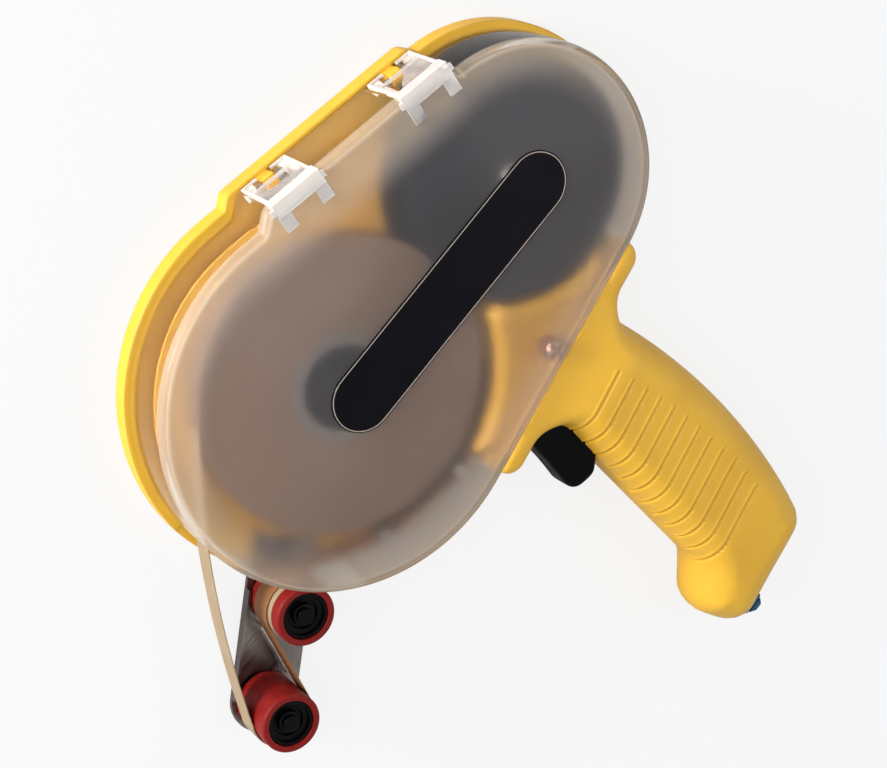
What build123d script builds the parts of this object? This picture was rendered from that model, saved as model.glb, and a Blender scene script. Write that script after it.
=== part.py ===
from build123d import *
import math
import os

# Adhesive transfer tape dispenser, lying on its flat back.
# Millimetres. Origin on the resting plane, under the supply spindle. +Z out through the clear cover,
# +X from the nose towards the take-up spool, +Y towards the cover hinge, the handle towards -Y.

# Driving dimensions
spindle_gap = 81.0              # supply spindle to take-up spindle
big_centre = (-2.5, 2.0)        # centre of the supply end of the housing
big_r = 58.8
small_centre = (79.5, 1.7)      # centre of the take-up end of the housing
small_r = 42.4
floor_t = 2.2
rim_top = 7.5
rim_out = 2.0                   # how far the tray rim stands proud of the cover
wall_t = 2.0
cover_top = 31.0
cover_gap = 0.3
cover_edge_r = 3.0
deck_z = 6.6
deck_t = 1.0
deck_inset = 10.0
tape_w = 9.0
tape_low = 8.7
roll_r = 46.0
core_r = 17.0
spindle_r = 3.0
idler_pin_r = 2.0
spool_top = 18.4                # top of the take-up drum, just clear of the wound liner
flange_gap = 5.4                # take-up flange to the housing outline
deck_posts = ((-36.5, 18.0), (22.0, 38.5), (22.0, -37.5), (104.0, 20.0), (104.0, -18.0), (58.0, 27.0))
hub_r = 13.0
run_gap = 0.05                  # radial clearance of a turning fit
soft_gap = 0.3                  # distance kept between moving and soft pieces

# Gear train
gear_module = 1.5
supply_teeth = 40
idler_teeth = 20
takeup_teeth = 28
gear_low = 3.2
gear_t = 2.8

# Rollers
lower_roller = (-86.6, -55.8)
upper_roller = (-58.9, -36.0)
roller_r = 9.4
roller_low = 4.2
roller_high = 24.0
roller_wall = 2.0
band_r = 9.6
band_w = 11.4
axle_r = 1.6
bracket_t = 1.5
bracket_half = 10.8
bracket_long = 54.05            # from the lower roller to the centre of the bracket's inner end
bracket_lip = (36.0, 1.0, 3.4)  # length, thickness and top of the turned-up edge
rivet_in = 2.5
rivet_apart = 11.0

# Handle
handle_low = 0.6
handle_split = 16.0
handle_high = 30.0
handle_wall = 2.4
front_steps = ((6.5, 9), (3.75, 33), (2.5, 54), (1.25, 70))     # height and lean of each band above the split
rear_steps = ((6.2, 9), (4.6, 28), (3.1, 48), (1.5, 66))
root_r = 9.0                    # curve between the handle and its base
base_out = 8.0                  # how far the handle base stands out from the housing side
base_top = 27.5
base_round = 5.5
crown_out = 24.0                # where the front reaches its full height, outwards from the side
tongue_top = 24.0
grip_ribs = 12
grip_pitch = 6.3
first_rib = -67.5
rib_y = -97.5                   # rib across the inside of the handle
handle_bosses = ((56.0, -84.0), (55.0, -150.0))
plug_box = (36.0, -169.7, 13.5)
plug_size = (10.8, 13.2, 11.0)

# Cover hinge
hinge_n = 2.3                   # hinge axis, measured outwards from the straight side
hinge_z = 11.6
hinge_knuckle_r = 2.3
hinge_pin_r = 1.0
block_out = 4.7                 # how far the hinge block stands out from the straight side
clip_starts = (13.5, 61.5)      # distance of each clip along the straight side
clip_w = 16.0

# Trigger and brake
trigger_pivot = (46.0, -60.0)
trigger_pin_r = 2.0
brake_pivot = (9.1, -40.9)
brake_pin_r = 1.8
guide_posts = (240, 275)        # polar angles of the liner posts about the supply spindle
guide_post_gap = 4.8            # roll to the middle of a liner post
guide_post_r = 2.0
tongue_screw = (49.7, -42.7)

supply = (0.0, 0.0)
takeup = (spindle_gap, 0.0)
tape_high = tape_low + tape_w
gear_high = gear_low + gear_t
guide_post_ring = roll_r + guide_post_gap
flange_r = small_r - flange_gap
supply_pitch_r = gear_module * supply_teeth / 2
idler_pitch_r = gear_module * idler_teeth / 2
takeup_pitch_r = gear_module * takeup_teeth / 2
idler = (supply_pitch_r + idler_pitch_r, 0.0)

# Direction of the two straight sides, tangent to both end circles
centre_dx = small_centre[0] - big_centre[0]
centre_dy = small_centre[1] - big_centre[1]
centre_gap = math.hypot(centre_dx, centre_dy)
centre_turn = math.degrees(math.atan2(centre_dy, centre_dx))
side_lean = math.degrees(math.asin((big_r - small_r) / centre_gap))


def polar(centre, radius, angle):
    a = math.radians(angle)
    return (centre[0] + radius * math.cos(a), centre[1] + radius * math.sin(a))


top_normal = 90 - side_lean + centre_turn
low_normal = -90 + side_lean + centre_turn
top_start = polar(big_centre, big_r, top_normal)
low_start = polar(big_centre, big_r, low_normal)


def on_top_side(s, n):
    """A point s along the hinge side and n outwards from it."""
    return polar(polar(top_start, s, top_normal - 90), n, top_normal)


def on_low_side(s, n):
    """A point s along the handle side and n outwards from it."""
    return polar(polar(low_start, s, low_normal + 90), n, low_normal)


def slab(face, low, high):
    return extrude(Pos(0, 0, low) * face, amount=high - low)


def disc(centre, radius, low, high):
    return Pos(centre[0], centre[1], (low + high) / 2) * Cylinder(radius, high - low)


def ring(centre, outer, inner, low, high):
    return disc(centre, outer, low, high) - disc(centre, inner, low - 1, high + 1)


def patch(points, radius=0):
    """A flat face through the points, with every corner rounded."""
    face = make_face(Polyline(*points, close=True))
    return fillet(face.vertices(), radius) if radius else face


def side_box(place, s0, s1, n0, n1, low, high):
    return slab(patch([place(s0, n0), place(s1, n0), place(s1, n1), place(s0, n1)]), low, high)


def hinge_block(grow):
    """The straight raised part of the outline that carries the hinge."""
    out = block_out + grow / 4
    corners = [(4, -9), (6.6 - grow, 0), (11.5 - grow, out)]
    corners += [(75.5 + grow, out), (80.4 + grow, 0), (83, -9)]
    face = make_face(Polyline(*[on_top_side(s, n) for s, n in corners], close=True))
    bends = face.vertices().sort_by_distance(on_top_side(11.5, out) + (0,))[:1]
    bends += face.vertices().sort_by_distance(on_top_side(75.5, out) + (0,))[:1]
    return fillet(bends, 3.5)


def housing_face(grow):
    """The egg-shaped housing outline, grown outwards by grow."""
    ends = [polar(big_centre, big_r + grow, a) for a in (low_normal, top_normal)]
    ends += [polar(small_centre, small_r + grow, a) for a in (top_normal, low_normal)]
    face = Pos(*big_centre) * Circle(big_r + grow)
    face += Pos(*small_centre) * Circle(small_r + grow)
    face += patch(ends)
    return face


def case_face(grow):
    return housing_face(grow) + hinge_block(grow)


def crossing(a, b, c, d):
    """Where the line through a and b meets the line through c and d."""
    ex, ey, fx, fy = b[0] - a[0], b[1] - a[1], d[0] - c[0], d[1] - c[1]
    t = ((c[0] - a[0]) * fy - (c[1] - a[1]) * fx) / (ex * fy - ey * fx)
    return (a[0] + ex * t, a[1] + ey * t)


def round_corners(face, corners):
    for point, radius in corners:
        face = fillet(face.vertices().sort_by_distance(point + (0,))[:1], radius)
    return face


def handle_face():
    """The side outline of the pistol handle, with curved roots, running on under the housing side."""
    top_left = (36.0, -50.0)
    palm_mid = (76.3, -110.0)
    palm_low = (68.6, -161.5)
    heel_front = (28.5, -169.5)
    heel_nose = (20.8, -154.5)
    finger_low = (33.0, -142.0)
    edge = (on_low_side(0, base_out), on_low_side(80, base_out))
    finger_root = crossing(top_left, finger_low, *edge)
    palm_root = crossing((68.8, -50.0), (69.6, -55.0), *edge)
    front = [on_low_side(12, -12), on_low_side(12, base_out), finger_root, finger_low]
    outline = Polyline(*front, heel_nose, heel_front, palm_low) + ThreePointArc(palm_low, palm_mid, palm_root)
    outline += Polyline(palm_root, on_low_side(72, base_out), on_low_side(72, -12), on_low_side(12, -12))
    return round_corners(make_face(outline), ((finger_root, root_r), (palm_root, root_r), (palm_low, 7),
                                              (heel_front, 8), (heel_nose, 7.5), (finger_low, 9)))


def banded_grip(steps):
    """The handle outline stacked upwards in bands that lean in more and more."""
    face = handle_face()
    shape = Part()
    for height, lean in steps:
        band = extrude(face, amount=height, taper=lean)
        face = band.faces().sort_by(Axis.Z)[-1]
        shape += band
    return shape


def beside_housing(shape):
    return shape - side_box(on_low_side, -30, 120, -60, 0.6, -10, 40)


def grip_hollow(low, high):
    """The space inside the handle, with one rib across it below the trigger."""
    hollow = Part()
    for inset, rise in ((handle_wall + 2.0, 5.0), (handle_wall + 7.0, 0)):
        face = handle_face() & side_face(-30, 120, 0.6 + handle_wall - inset, 160)
        hollow += slab(offset(face, -inset), low + rise, high - rise)
    return hollow - Pos(50, rib_y, handle_split) * Box(80, 2.2, 40)


def base_face(inset=0):
    """The handle base that runs along the housing's side."""
    face = side_face(2 + inset, 82 - inset, 0.6, base_out - inset)
    ends = [on_low_side(s, base_out - inset) for s in (2 + inset, 82 - inset)]
    return round_corners(face, [(point, base_round - inset) for point in ends])


def tongue_face(grow=0):
    """The part of the front shell that fills the corner between the roll, the spool and the side."""
    face = patch([on_low_side(6, 2), on_low_side(76, 2), on_low_side(76, -32), on_low_side(6, -32)])
    face = face & housing_face(-wall_t - 0.6 - grow) + side_face(8 + grow, 74 - grow, -6, 2)
    face -= Circle(roll_r + 4 + grow)
    face -= Pos(*takeup) * Circle(39 + grow)
    return face


def side_face(s0, s1, n0, n1):
    return patch([on_low_side(s0, n0), on_low_side(s1, n0), on_low_side(s1, n1), on_low_side(s0, n1)])


def keep_largest(shape):
    return shape.solids().sort_by(SortBy.VOLUME)[-1]


def nose_cut(low, high, a0=175, a1=231):
    """A wedge that opens the wall at the nose for the tape and the bracket."""
    reach = big_r + 20
    wedge = patch([big_centre, polar(big_centre, reach, a0), polar(big_centre, reach, a1)])
    wedge -= Pos(*big_centre) * Circle(big_r - 12)
    return slab(wedge, low, high)


def gear_face(teeth, phase):
    """A spur gear outline with straight-flanked teeth and running backlash."""
    pitch_r = gear_module * teeth / 2
    step = 360 / teeth
    points = []
    for i in range(teeth):
        middle = phase + i * step
        for part, radius in ((-0.36, -1.25), (-0.115, 0.92), (0.115, 0.92), (0.36, -1.25)):
            points.append(polar((0, 0), pitch_r + radius * gear_module, middle + part * step))
    return patch(points)


def gear(centre, teeth, phase, bore):
    body = slab(gear_face(teeth, phase) - Circle(bore), gear_low, gear_high)
    return Pos(centre[0], centre[1], 0) * body


def coil(centre, radius, wire, low, high, turns):
    pitch = (high - low) / turns
    path = Helix(pitch=pitch, height=high - low, radius=radius, center=(centre[0], centre[1], low))
    section = Plane(origin=path @ 0, z_dir=path % 0) * Circle(wire)
    return sweep(section, path=path)


def save(name, shape):
    solids = shape.solids()
    result = solids[0] if len(solids) == 1 else Compound(children=list(solids))
    export_step(result, f"parts/{name}.step")


os.makedirs("parts", exist_ok=True)

# Liner route, worked out from the rollers, the posts and the wound liner
strip_t = 0.3
lower_wrap = roller_r + soft_gap + strip_t / 2
upper_wrap = band_r + soft_gap + strip_t / 2
post_wrap = guide_post_r + 0.2 + strip_t / 2
wound_r = 21.0
wound_wrap = wound_r + soft_gap + strip_t / 2
roll_wrap = roll_r + soft_gap + strip_t / 2
post_a, post_b = [polar(supply, guide_post_ring, a) for a in guide_posts]


def heading(a, a_left, b, b_left):
    """Direction of the straight run that leaves a and meets b.

    a_left and b_left say how far each centre lies to the left of the run."""
    dx, dy = b[0] - a[0], b[1] - a[1]
    return math.degrees(math.atan2(dy, dx) - math.asin((b_left - a_left) / math.hypot(dx, dy)))


feed_heading = heading(supply, roll_wrap, lower_roller, lower_wrap) % 360
cross_heading = heading(lower_roller, lower_wrap, upper_roller, -upper_wrap)
inner_heading = heading(upper_roller, -upper_wrap, post_a, post_wrap)
post_heading = heading(post_a, post_wrap, post_b, post_wrap)
wound_heading = heading(post_b, post_wrap, takeup, wound_wrap)
peel_angle = -70.0              # where the adhesive leaves the lower roller
feed_bulge = 3.5


def arc(centre, radius, start, end):
    return CenterArc(centre, radius, start, end - start)


def run(a, a_radius, b, b_radius, direction):
    return Line(polar(a, a_radius, direction - 90), polar(b, b_radius, direction - 90))


def strip(path):
    return slab(trace(path, line_width=strip_t), tape_low + 0.2, tape_high - 0.2)


def rear_housing():
    tray = slab(case_face(rim_out), 0, rim_top)
    tray = chamfer(tray.faces().sort_by(Axis.Z)[0].edges(), 0.8)
    tray -= slab(case_face(-wall_t - 0.4), floor_t, rim_top + 1)
    tray -= nose_cut(floor_t, rim_top + 1)
    base = slab(base_face(), handle_low, rim_top)
    base += side_box(on_low_side, 2, 82, 0, 1, floor_t, rim_top)
    base -= slab(base_face(2.2), floor_t + 0.6, rim_top + 1)
    grip = Pos(0, 0, handle_split) * mirror(banded_grip(rear_steps), about=Plane.XY)
    grip = beside_housing(grip) - side_box(on_low_side, -30, 120, -5, base_out, rim_top, handle_split + 1)
    body = base + grip - grip_hollow(handle_low + handle_wall, handle_split + 8)
    body += tray
    body -= side_box(on_low_side, 6, 34, -4, 7.0, gear_low - 0.4, rim_top + 1)
    body -= trigger_slot()
    body -= disc(trigger_pivot, 4.8, gear_low - 0.2, handle_split)
    for centre, radius in ((supply, 5.6), (takeup, 5.6), (idler, 4.0)):
        body += disc(centre, radius, floor_t, gear_low - 0.2)
    body += disc(brake_pivot, 3.6, floor_t, gear_low - 0.2)
    body += disc(trigger_pivot, 4.2, handle_low + 1, gear_low - 0.2)
    for point in deck_posts:
        body += disc(point, 3.0, floor_t, deck_z)
        body -= disc(point, 1.2, floor_t + 0.6, deck_z + 1)
    for post in (post_a, post_b):
        body -= disc(post, guide_post_r, floor_t - 1.2, floor_t + 1)
    body += disc(tongue_screw, 4.0, floor_t, tongue_top - 2.2)
    body -= disc(tongue_screw, 1.4, 8, tongue_top)
    for point in handle_bosses:
        body += disc(point, 3.6, handle_low + 1, handle_split)
        body -= disc(point, 1.5, handle_low - 1, handle_split + 1)
        body -= disc(point, 3.1, handle_low - 1, handle_low + 2.6)
    for start in clip_starts:
        body += hinge_ear(start)
    for centre, radius in ((supply, spindle_r), (takeup, spindle_r), (idler, idler_pin_r)):
        body -= disc(centre, radius, 0.8, 8)
    body -= disc(brake_pivot, brake_pin_r, 0.8, 8)
    body -= disc(trigger_pivot, trigger_pin_r, 2.0, 30)
    body -= plug_socket()
    for point in rivet_points:
        body -= disc(point, 1.2, -1, floor_t + 1)
    return keep_largest(body)


bracket_turn = math.degrees(math.atan2(upper_roller[1] - lower_roller[1], upper_roller[0] - lower_roller[0]))


def on_bracket(along, across):
    return polar(polar(lower_roller, along, bracket_turn), across, bracket_turn + 90)


rivet_points = [on_bracket(bracket_long - rivet_in, side * rivet_apart / 2) for side in (-1, 1)]


def trigger_slot():
    return Pos(35.5, -75.8, handle_split) * Box(14, 34.4, 12.6)


def plug_socket():
    return Pos(*plug_box) * Box(plug_size[0], plug_size[1], plug_size[2])


def hinge_place(s, n, z):
    x, y = on_top_side(s, n)
    return (x, y, z)


def hinge_rod(radius, s0, s1):
    """A rod along the hinge axis."""
    along = Vector(*hinge_place(1, 0, 0)) - Vector(*hinge_place(0, 0, 0))
    section = Plane(origin=hinge_place(s0, hinge_n, hinge_z), z_dir=along) * Circle(radius)
    return extrude(section, amount=s1 - s0)


def hinge_ear(start):
    middle = start + clip_w / 2
    ear = side_box(on_top_side, middle - 2, middle + 2, hinge_n - 2.3, hinge_n + 2.3, floor_t, hinge_z)
    ear -= side_box(on_top_side, middle - 3, middle + 3, hinge_n + 1.8, hinge_n + 4, rim_top, hinge_z + 1)
    ear += hinge_rod(hinge_knuckle_r, middle - 2, middle + 2)
    return ear - hinge_rod(hinge_pin_r, middle - 3, middle + 3)


def front_handle_shell():
    grip = beside_housing(Pos(0, 0, handle_split) * banded_grip(front_steps))
    grip += beside_housing(slab(handle_face() & side_face(-30, 120, -20, base_out), rim_top, handle_split))
    grip -= crown_slope()
    base = slab(base_face(), rim_top, base_top)
    base = fillet(base.faces().sort_by(Axis.Z)[-1].edges().filter_by(lambda e: e.length > 30), 2.0)
    tongue = slab(tongue_face(), tongue_top - 5, tongue_top)
    shell = grip + base + tongue
    shell -= grip_hollow(rim_top - 6, handle_high - handle_wall)
    shell -= slab(base_face(2.2), rim_top - 1, base_top - 2.2)
    shell -= slab(tongue_face(2), tongue_top - 6, tongue_top - 2.2)
    shell -= side_box(on_low_side, 12, 72, -3, 3.5, rim_top - 1, tongue_top - 2.2)
    for point in handle_bosses:
        shell += disc(point, 3.6, handle_split, handle_high - handle_wall)
        shell -= disc(point, 1.5, handle_split - 1, handle_high - 6)
    shell += disc(trigger_pivot, 4.2, 22.2, handle_high - 3)
    shell -= disc(trigger_pivot, trigger_pin_r, 10, 26)
    shell -= trigger_slot()
    shell -= disc(tongue_screw, 1.6, tongue_top - 8, tongue_top + 1)
    shell -= plug_socket()
    shell -= grip_grooves()
    return keep_largest(shell)


def crown_slope():
    """What is cut off the handle's front so that it falls towards the cover's edge."""
    along = Vector(*on_low_side(1, 0)) - Vector(*on_low_side(0, 0))
    out = Vector(*on_low_side(0, 1)) - Vector(*on_low_side(0, 0))
    side = Plane(origin=on_low_side(-30, 0) + (0,), x_dir=out, z_dir=along)
    top = handle_high + 2
    profile = Polyline((-4, top), (-4, base_top), (base_out, base_top), (crown_out, handle_high),
                       (crown_out, top), close=True)
    return extrude(side * make_face(profile), amount=150)


def grip_grooves():
    """Shallow steps across the front of the handle."""
    cuts = []
    for i in range(grip_ribs):
        y = first_rib - i * grip_pitch
        cuts.append(Pos(50, y, handle_high) * Rot(0, 90, 0) * Cylinder(0.7, 27))
    return Compound(children=cuts)


def gear_deck():
    plate = slab(housing_face(-deck_inset), deck_z, deck_z + deck_t)
    for centre in (supply, takeup):
        plate -= disc(centre, 9.0, 0, 20)
    plate -= disc(idler, idler_pin_r, 0, 20)
    plate -= disc(tongue_screw, 4.4, 0, 20)
    for point in deck_posts:
        plate -= disc(point, 1.2, 0, 20) + disc(point, 2.2, deck_z + 0.4, 20)
    return plate


def clear_cover():
    shell = slab(case_face(0), rim_top + cover_gap, cover_top)
    shell = fillet(shell.faces().sort_by(Axis.Z)[-1].edges(), cover_edge_r)
    shell -= slab(case_face(-wall_t), rim_top - 1, cover_top - wall_t)
    shell -= nose_cut(rim_top - 1, cover_top - 5)
    shell -= side_box(on_low_side, 0, 84, -9, 3, rim_top - 1, tongue_top + 0.4)
    shell -= side_box(on_top_side, 5, 81, -0.5, 8, rim_top - 1, 9.0)
    for start in clip_starts:
        s0, s1 = start - 0.1, start + clip_w + 0.1
        shell -= side_box(on_top_side, s0, s1, -0.5, 8, rim_top - 1, cover_top - 4)
        shell -= side_box(on_top_side, s0, s1, block_out - 1.6, 8, cover_top - 5, cover_top + 1)
    return keep_largest(shell)


def hinge_clip(start):
    """Clip with two knuckles, a window between its legs, a bridge and two prongs on the cover's face."""
    end = start + clip_w
    plate = side_box(on_top_side, start, end, block_out - 1.6, block_out, hinge_z, cover_top)
    plate -= side_box(on_top_side, start + 3.2, end - 3.2, 0, 8, hinge_z - 3, hinge_z + 6)
    knuckles = hinge_rod(hinge_knuckle_r, start, start + 3.2) + hinge_rod(hinge_knuckle_r, end - 3.2, end)
    cap = side_box(on_top_side, start, end, -0.8, block_out, cover_top, cover_top + 1.2)
    for s in (start - 0.6, end - 3.4):
        cap += side_box(on_top_side, s, s + 4.0, -4.2, block_out, cover_top, cover_top + 1.2)
    clip = plate + knuckles + cap
    for s in (start, end - 3.2):
        clip += side_box(on_top_side, s, s + 3.2, hinge_n, block_out, hinge_z, hinge_z + 3)
    return keep_largest(clip - hinge_rod(hinge_pin_r + run_gap, start - 1, end + 1))


def hub_body(drum_r, boss_r, bore, low, high):
    """A drum on a boss, joined by a web and six spokes."""
    drum = ring(supply, drum_r, drum_r - 1.6, low, high)
    boss = disc(supply, boss_r, gear_high, high) + disc(supply, 7.0, gear_low, low + 1.2)
    web = disc(supply, drum_r, low, low + 1.2)
    hub = drum + boss + web
    spoke = Pos((boss_r + drum_r) / 2 - 0.4, 0, (low + high) / 2) * Box(drum_r - boss_r, 1.4, high - low - 2)
    for i in range(6):
        hub += Rot(0, 0, 60 * i) * spoke
    return hub - disc(supply, bore, -5, 60)


def roller_bracket():
    plate = Pos(*lower_roller) * Circle(bracket_half) + Pos(*on_bracket(bracket_long, 0)) * Circle(bracket_half)
    plate += patch([on_bracket(0, -bracket_half), on_bracket(bracket_long, -bracket_half),
                    on_bracket(bracket_long, bracket_half), on_bracket(0, bracket_half)])
    plate = slab(plate, floor_t, floor_t + bracket_t)
    lip_long, lip_t, lip_high = bracket_lip
    lip = patch([on_bracket(0, bracket_half - lip_t), on_bracket(lip_long, bracket_half - lip_t),
                 on_bracket(lip_long, bracket_half), on_bracket(0, bracket_half)])
    plate += slab(lip, floor_t, floor_t + lip_high)
    for centre in (lower_roller, upper_roller):
        plate -= disc(centre, axle_r, 0, 10)
    for point in rivet_points:
        plate -= disc(point, 1.2, 0, 10)
    return plate


def bracket_strip():
    """The slotted strip that stands on the bracket between the rollers."""
    a, b, c = (-69.6, -36.2), (-73.0, -46.6), (-75.9, -53.4)
    face = trace(Polyline(a, b, c), line_width=1.0)
    strip_body = slab(face, floor_t + bracket_t, floor_t + bracket_t + 4.4)
    slot = slab(patch([(-69.2, -40.0), (-67.2, -39.4), (-72.5, -52.4), (-76.2, -48.4)]), 6.4, 6.9)
    return strip_body - slot


def roller_sleeve(centre, banded):
    sleeve = ring(centre, roller_r, roller_r - roller_wall, roller_low, roller_high)
    ends = sleeve.edges().filter_by(GeomType.CIRCLE).filter_by(lambda e: e.radius > roller_r - 0.1)
    sleeve = chamfer(ends, 0.5)
    if banded:
        middle = (roller_low + roller_high) / 2
        sleeve -= ring(centre, roller_r + 1, roller_r - 1, middle - band_w / 2, middle + band_w / 2)
    return sleeve


def roller_hub(centre):
    hub = disc(centre, roller_r - roller_wall, roller_low + 0.4, roller_high - 0.6)
    hub -= ring(centre, 5.8, 3.4, roller_high - 4, roller_high)
    hub -= ring(centre, 5.8, 3.4, roller_low - 1, roller_low + 3)
    return hub - disc(centre, axle_r + run_gap, 0, 40)


def roller_axle(centre):
    pin = disc(centre, axle_r, floor_t, roller_high - 1.2)
    pin += disc(centre, 2.6, roller_high - 0.55, roller_high + 0.3)
    pin += disc(centre, axle_r, roller_high - 1.3, roller_high - 0.5)
    return pin


def trigger():
    px, py = trigger_pivot
    tip = (22.1, -86.4)
    heel = (31.6, -88.4)
    back = (38.3, -82.5)
    nose = (24.6, -62.5)
    outline = Line((px + 4.5, py), (px + 2.5, py - 5))
    outline += Polyline((px + 2.5, py - 5), back, heel, tip)
    outline += ThreePointArc(tip, (23.9, -74.5), nose)
    outline += Polyline(nose, (36.5, -60.2), (px - 4, py + 3.6), (px + 2, py + 4.3), (px + 4.5, py))
    face = make_face(outline)
    for point, radius in ((tip, 4.2), (heel, 4), (back, 2), (nose, 0.8)):
        face = fillet(face.vertices().sort_by_distance(point + (0,))[:1], radius)
    body = slab(face, 10.2, 21.8)
    rims = body.faces().sort_by(Axis.Z)
    body = chamfer(rims[0].edges() + rims[-1].edges(), 0.8)
    finger = patch([(px - 8.4, py + 9.0), (px - 5.8, py + 9.6), (px + 1.0, py + 3.8), (px - 1.8, py + 1.0)])
    body += slab(finger, gear_low, gear_high) + disc(trigger_pivot, 4.2, gear_low, 11.0)
    body -= disc(trigger_pivot, trigger_pin_r + run_gap, 0, 40)
    return body - ring(trigger_pivot, 4.4, 1.0, 13.0, 19.0)


def brake_lever():
    pad_at = polar(supply, supply_pitch_r + gear_module + 4.0, -52)
    bend = (33.0, -50.4)
    tail = (35.3, -51.9)
    face = Pos(*brake_pivot) * Circle(4.0)
    face += trace(Polyline(pad_at, brake_pivot, bend, tail), line_width=3.6)
    body = slab(face, gear_low, gear_high)
    body -= disc(brake_pivot, brake_pin_r + run_gap, 0, 20)
    return keep_largest(body - disc(supply, supply_pitch_r + gear_module + 2.4, 0, 20))


def brake_pad():
    inner = supply_pitch_r + gear_module + 0.3
    pad = ring(supply, inner + 2.1, inner, gear_low, gear_high)
    wedge = slab(patch([supply, polar(supply, 60, -61), polar(supply, 60, -45)]), 0, 20)
    return pad & wedge


def heel_plug():
    """A wedge-ended plug with shallow ribs across its front."""
    x, y, z = plug_box
    left, right = x - plug_size[0] / 2, x + plug_size[0] / 2
    outline = [(left, -166.5), (right, -166.5), (right, -170.8), (right - 4.0, -176.3), (left + 4.2, -176.3),
               (left, -172.8)]
    low, high = z - plug_size[2] / 2, z + plug_size[2] / 2
    body = slab(patch(outline), low, high)
    for i in range(3):
        body -= Pos(x, -171.6 - 1.4 * i, high) * Box(20, 0.5, 1.0)
    return body


def screw(centre, low, high, head_z):
    """A screw shank with a flat head that starts at head_z."""
    shank = disc(centre, 1.4, low, high)
    head = disc(centre, 2.3, head_z, head_z + 1.2)
    return shank + head


def screws():
    pieces = [screw(tongue_screw, 12, tongue_top, tongue_top)]
    for point in deck_posts:
        shank = disc(point, 1.2, floor_t + 0.8, deck_z + 0.5)
        pieces.append(shank + disc(point, 2.2, deck_z + 0.4, deck_z + deck_t))
    for point in handle_bosses:
        shank = disc(point, 1.5, handle_low + 1.5, handle_split + 6)
        pieces.append(shank + disc(point, 3.0, handle_low + 0.6, handle_low + 2.6))
    return pieces


def feed_path():
    start = polar(supply, roll_wrap, feed_heading - 90)
    end = polar(lower_roller, lower_wrap, feed_heading - 90)
    middle = ((start[0] + end[0]) / 2, (start[1] + end[1]) / 2)
    return [ThreePointArc(start, polar(middle, feed_bulge, feed_heading - 90), end),
            arc(lower_roller, lower_wrap, feed_heading - 90, 360 + peel_angle)]


def return_path():
    lower_end = polar(lower_roller, lower_wrap, cross_heading - 90)
    band_start = polar(upper_roller, upper_wrap, cross_heading + 90)
    band_end = polar(upper_roller, upper_wrap, inner_heading + 90)
    return [arc(lower_roller, lower_wrap, peel_angle, cross_heading - 90),
            Line(lower_end, band_start),
            arc(upper_roller, upper_wrap, cross_heading + 90, inner_heading + 90),
            Line(band_end, polar(post_a, post_wrap, inner_heading - 90)),
            arc(post_a, post_wrap, inner_heading - 90, post_heading - 90),
            run(post_a, post_wrap, post_b, post_wrap, post_heading),
            arc(post_b, post_wrap, post_heading - 90, wound_heading - 90),
            run(post_b, post_wrap, takeup, wound_wrap, wound_heading)]


def takeup_spool():
    spool = ring(supply, 15.0, 12.8, 8.0, spool_top) + disc(supply, flange_r - 4, 8.0, tape_low)
    spool += disc(supply, 7.0, gear_low, tape_low) + disc(supply, 6.0, 8.0, spool_top - 1.4)
    for i in range(6):
        spool += Rot(0, 0, 60 * i) * Pos(9.6, 0, 12.6) * Box(7.6, 1.4, 8.4)
    return Pos(*takeup) * (spool - disc(supply, spindle_r + run_gap, -5, 60))


def takeup_flange():
    top = spool_top + 1.1
    flange = ring(supply, flange_r, 6.4, spool_top, top)
    flange += ring(supply, flange_r, flange_r - 1.4, spool_top, top + 0.8)
    flange += ring(supply, 17.0, 15.6, top - 0.2, top + 0.9)
    for radius in (23.0, 29.0):
        flange += ring(supply, radius, radius - 0.8, top - 0.5, top + 0.3)
    return Pos(*takeup) * flange


# Tray, handle and the pieces fixed to them
save("rear_housing", rear_housing())
save("front_handle_shell", front_handle_shell())
save("gear_deck", gear_deck())
save("supply_spindle", disc(supply, spindle_r, 0.8, 21.0))
save("takeup_spindle", disc(takeup, spindle_r, 0.8, 25.0))
save("idler_pin", disc(idler, idler_pin_r, 0.8, deck_z + deck_t))
save("roller_bracket", roller_bracket())
save("bracket_strip", bracket_strip())
rivets = [disc(p, 1.2, 0.4, 3.7) + disc(p, 2.2, 3.7, 4.5) for p in rivet_points]
save("bracket_rivets", Compound(children=rivets))
save("lower_roller_axle", roller_axle(lower_roller))
save("upper_roller_axle", roller_axle(upper_roller))
save("brake_pin", disc(brake_pivot, brake_pin_r, 0.8, deck_z - 0.2))
save("trigger_pin", disc(trigger_pivot, trigger_pin_r, 2.0, 26.0))
save("heel_plug", heel_plug())
save("housing_screws", Compound(children=screws()))
posts = [disc(p, guide_post_r, floor_t - 1.2, spool_top) for p in (post_a, post_b)]
save("guide_posts", Compound(children=posts))
hinge_pins = [hinge_rod(hinge_pin_r, s + 0.4, s + clip_w - 0.4) for s in clip_starts]
save("hinge_pins", Compound(children=hinge_pins))
save("tape_feed_strip", strip(feed_path()))
save("liner_return_strip", strip(return_path()))

# Cover
save("cover", clear_cover())
save("hinge_clip_nose", hinge_clip(clip_starts[0]))
save("hinge_clip_tail", hinge_clip(clip_starts[1]))
label = Pos(spindle_gap / 2, 0) * SlotCenterToCenter(spindle_gap, 20.0)
save("label_plate", slab(label, cover_top, cover_top + 0.4))

# Supply side
save("supply_hub", hub_body(hub_r, 6.0, spindle_r + run_gap, 8.0, 18.6))
save("supply_gear", gear(supply, supply_teeth, 0, 7.0))
save("roll_core", ring(supply, core_r, hub_r, tape_low - 0.2, tape_high + 0.2))
save("tape_roll", ring(supply, roll_r, core_r, tape_low, tape_high))

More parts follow.
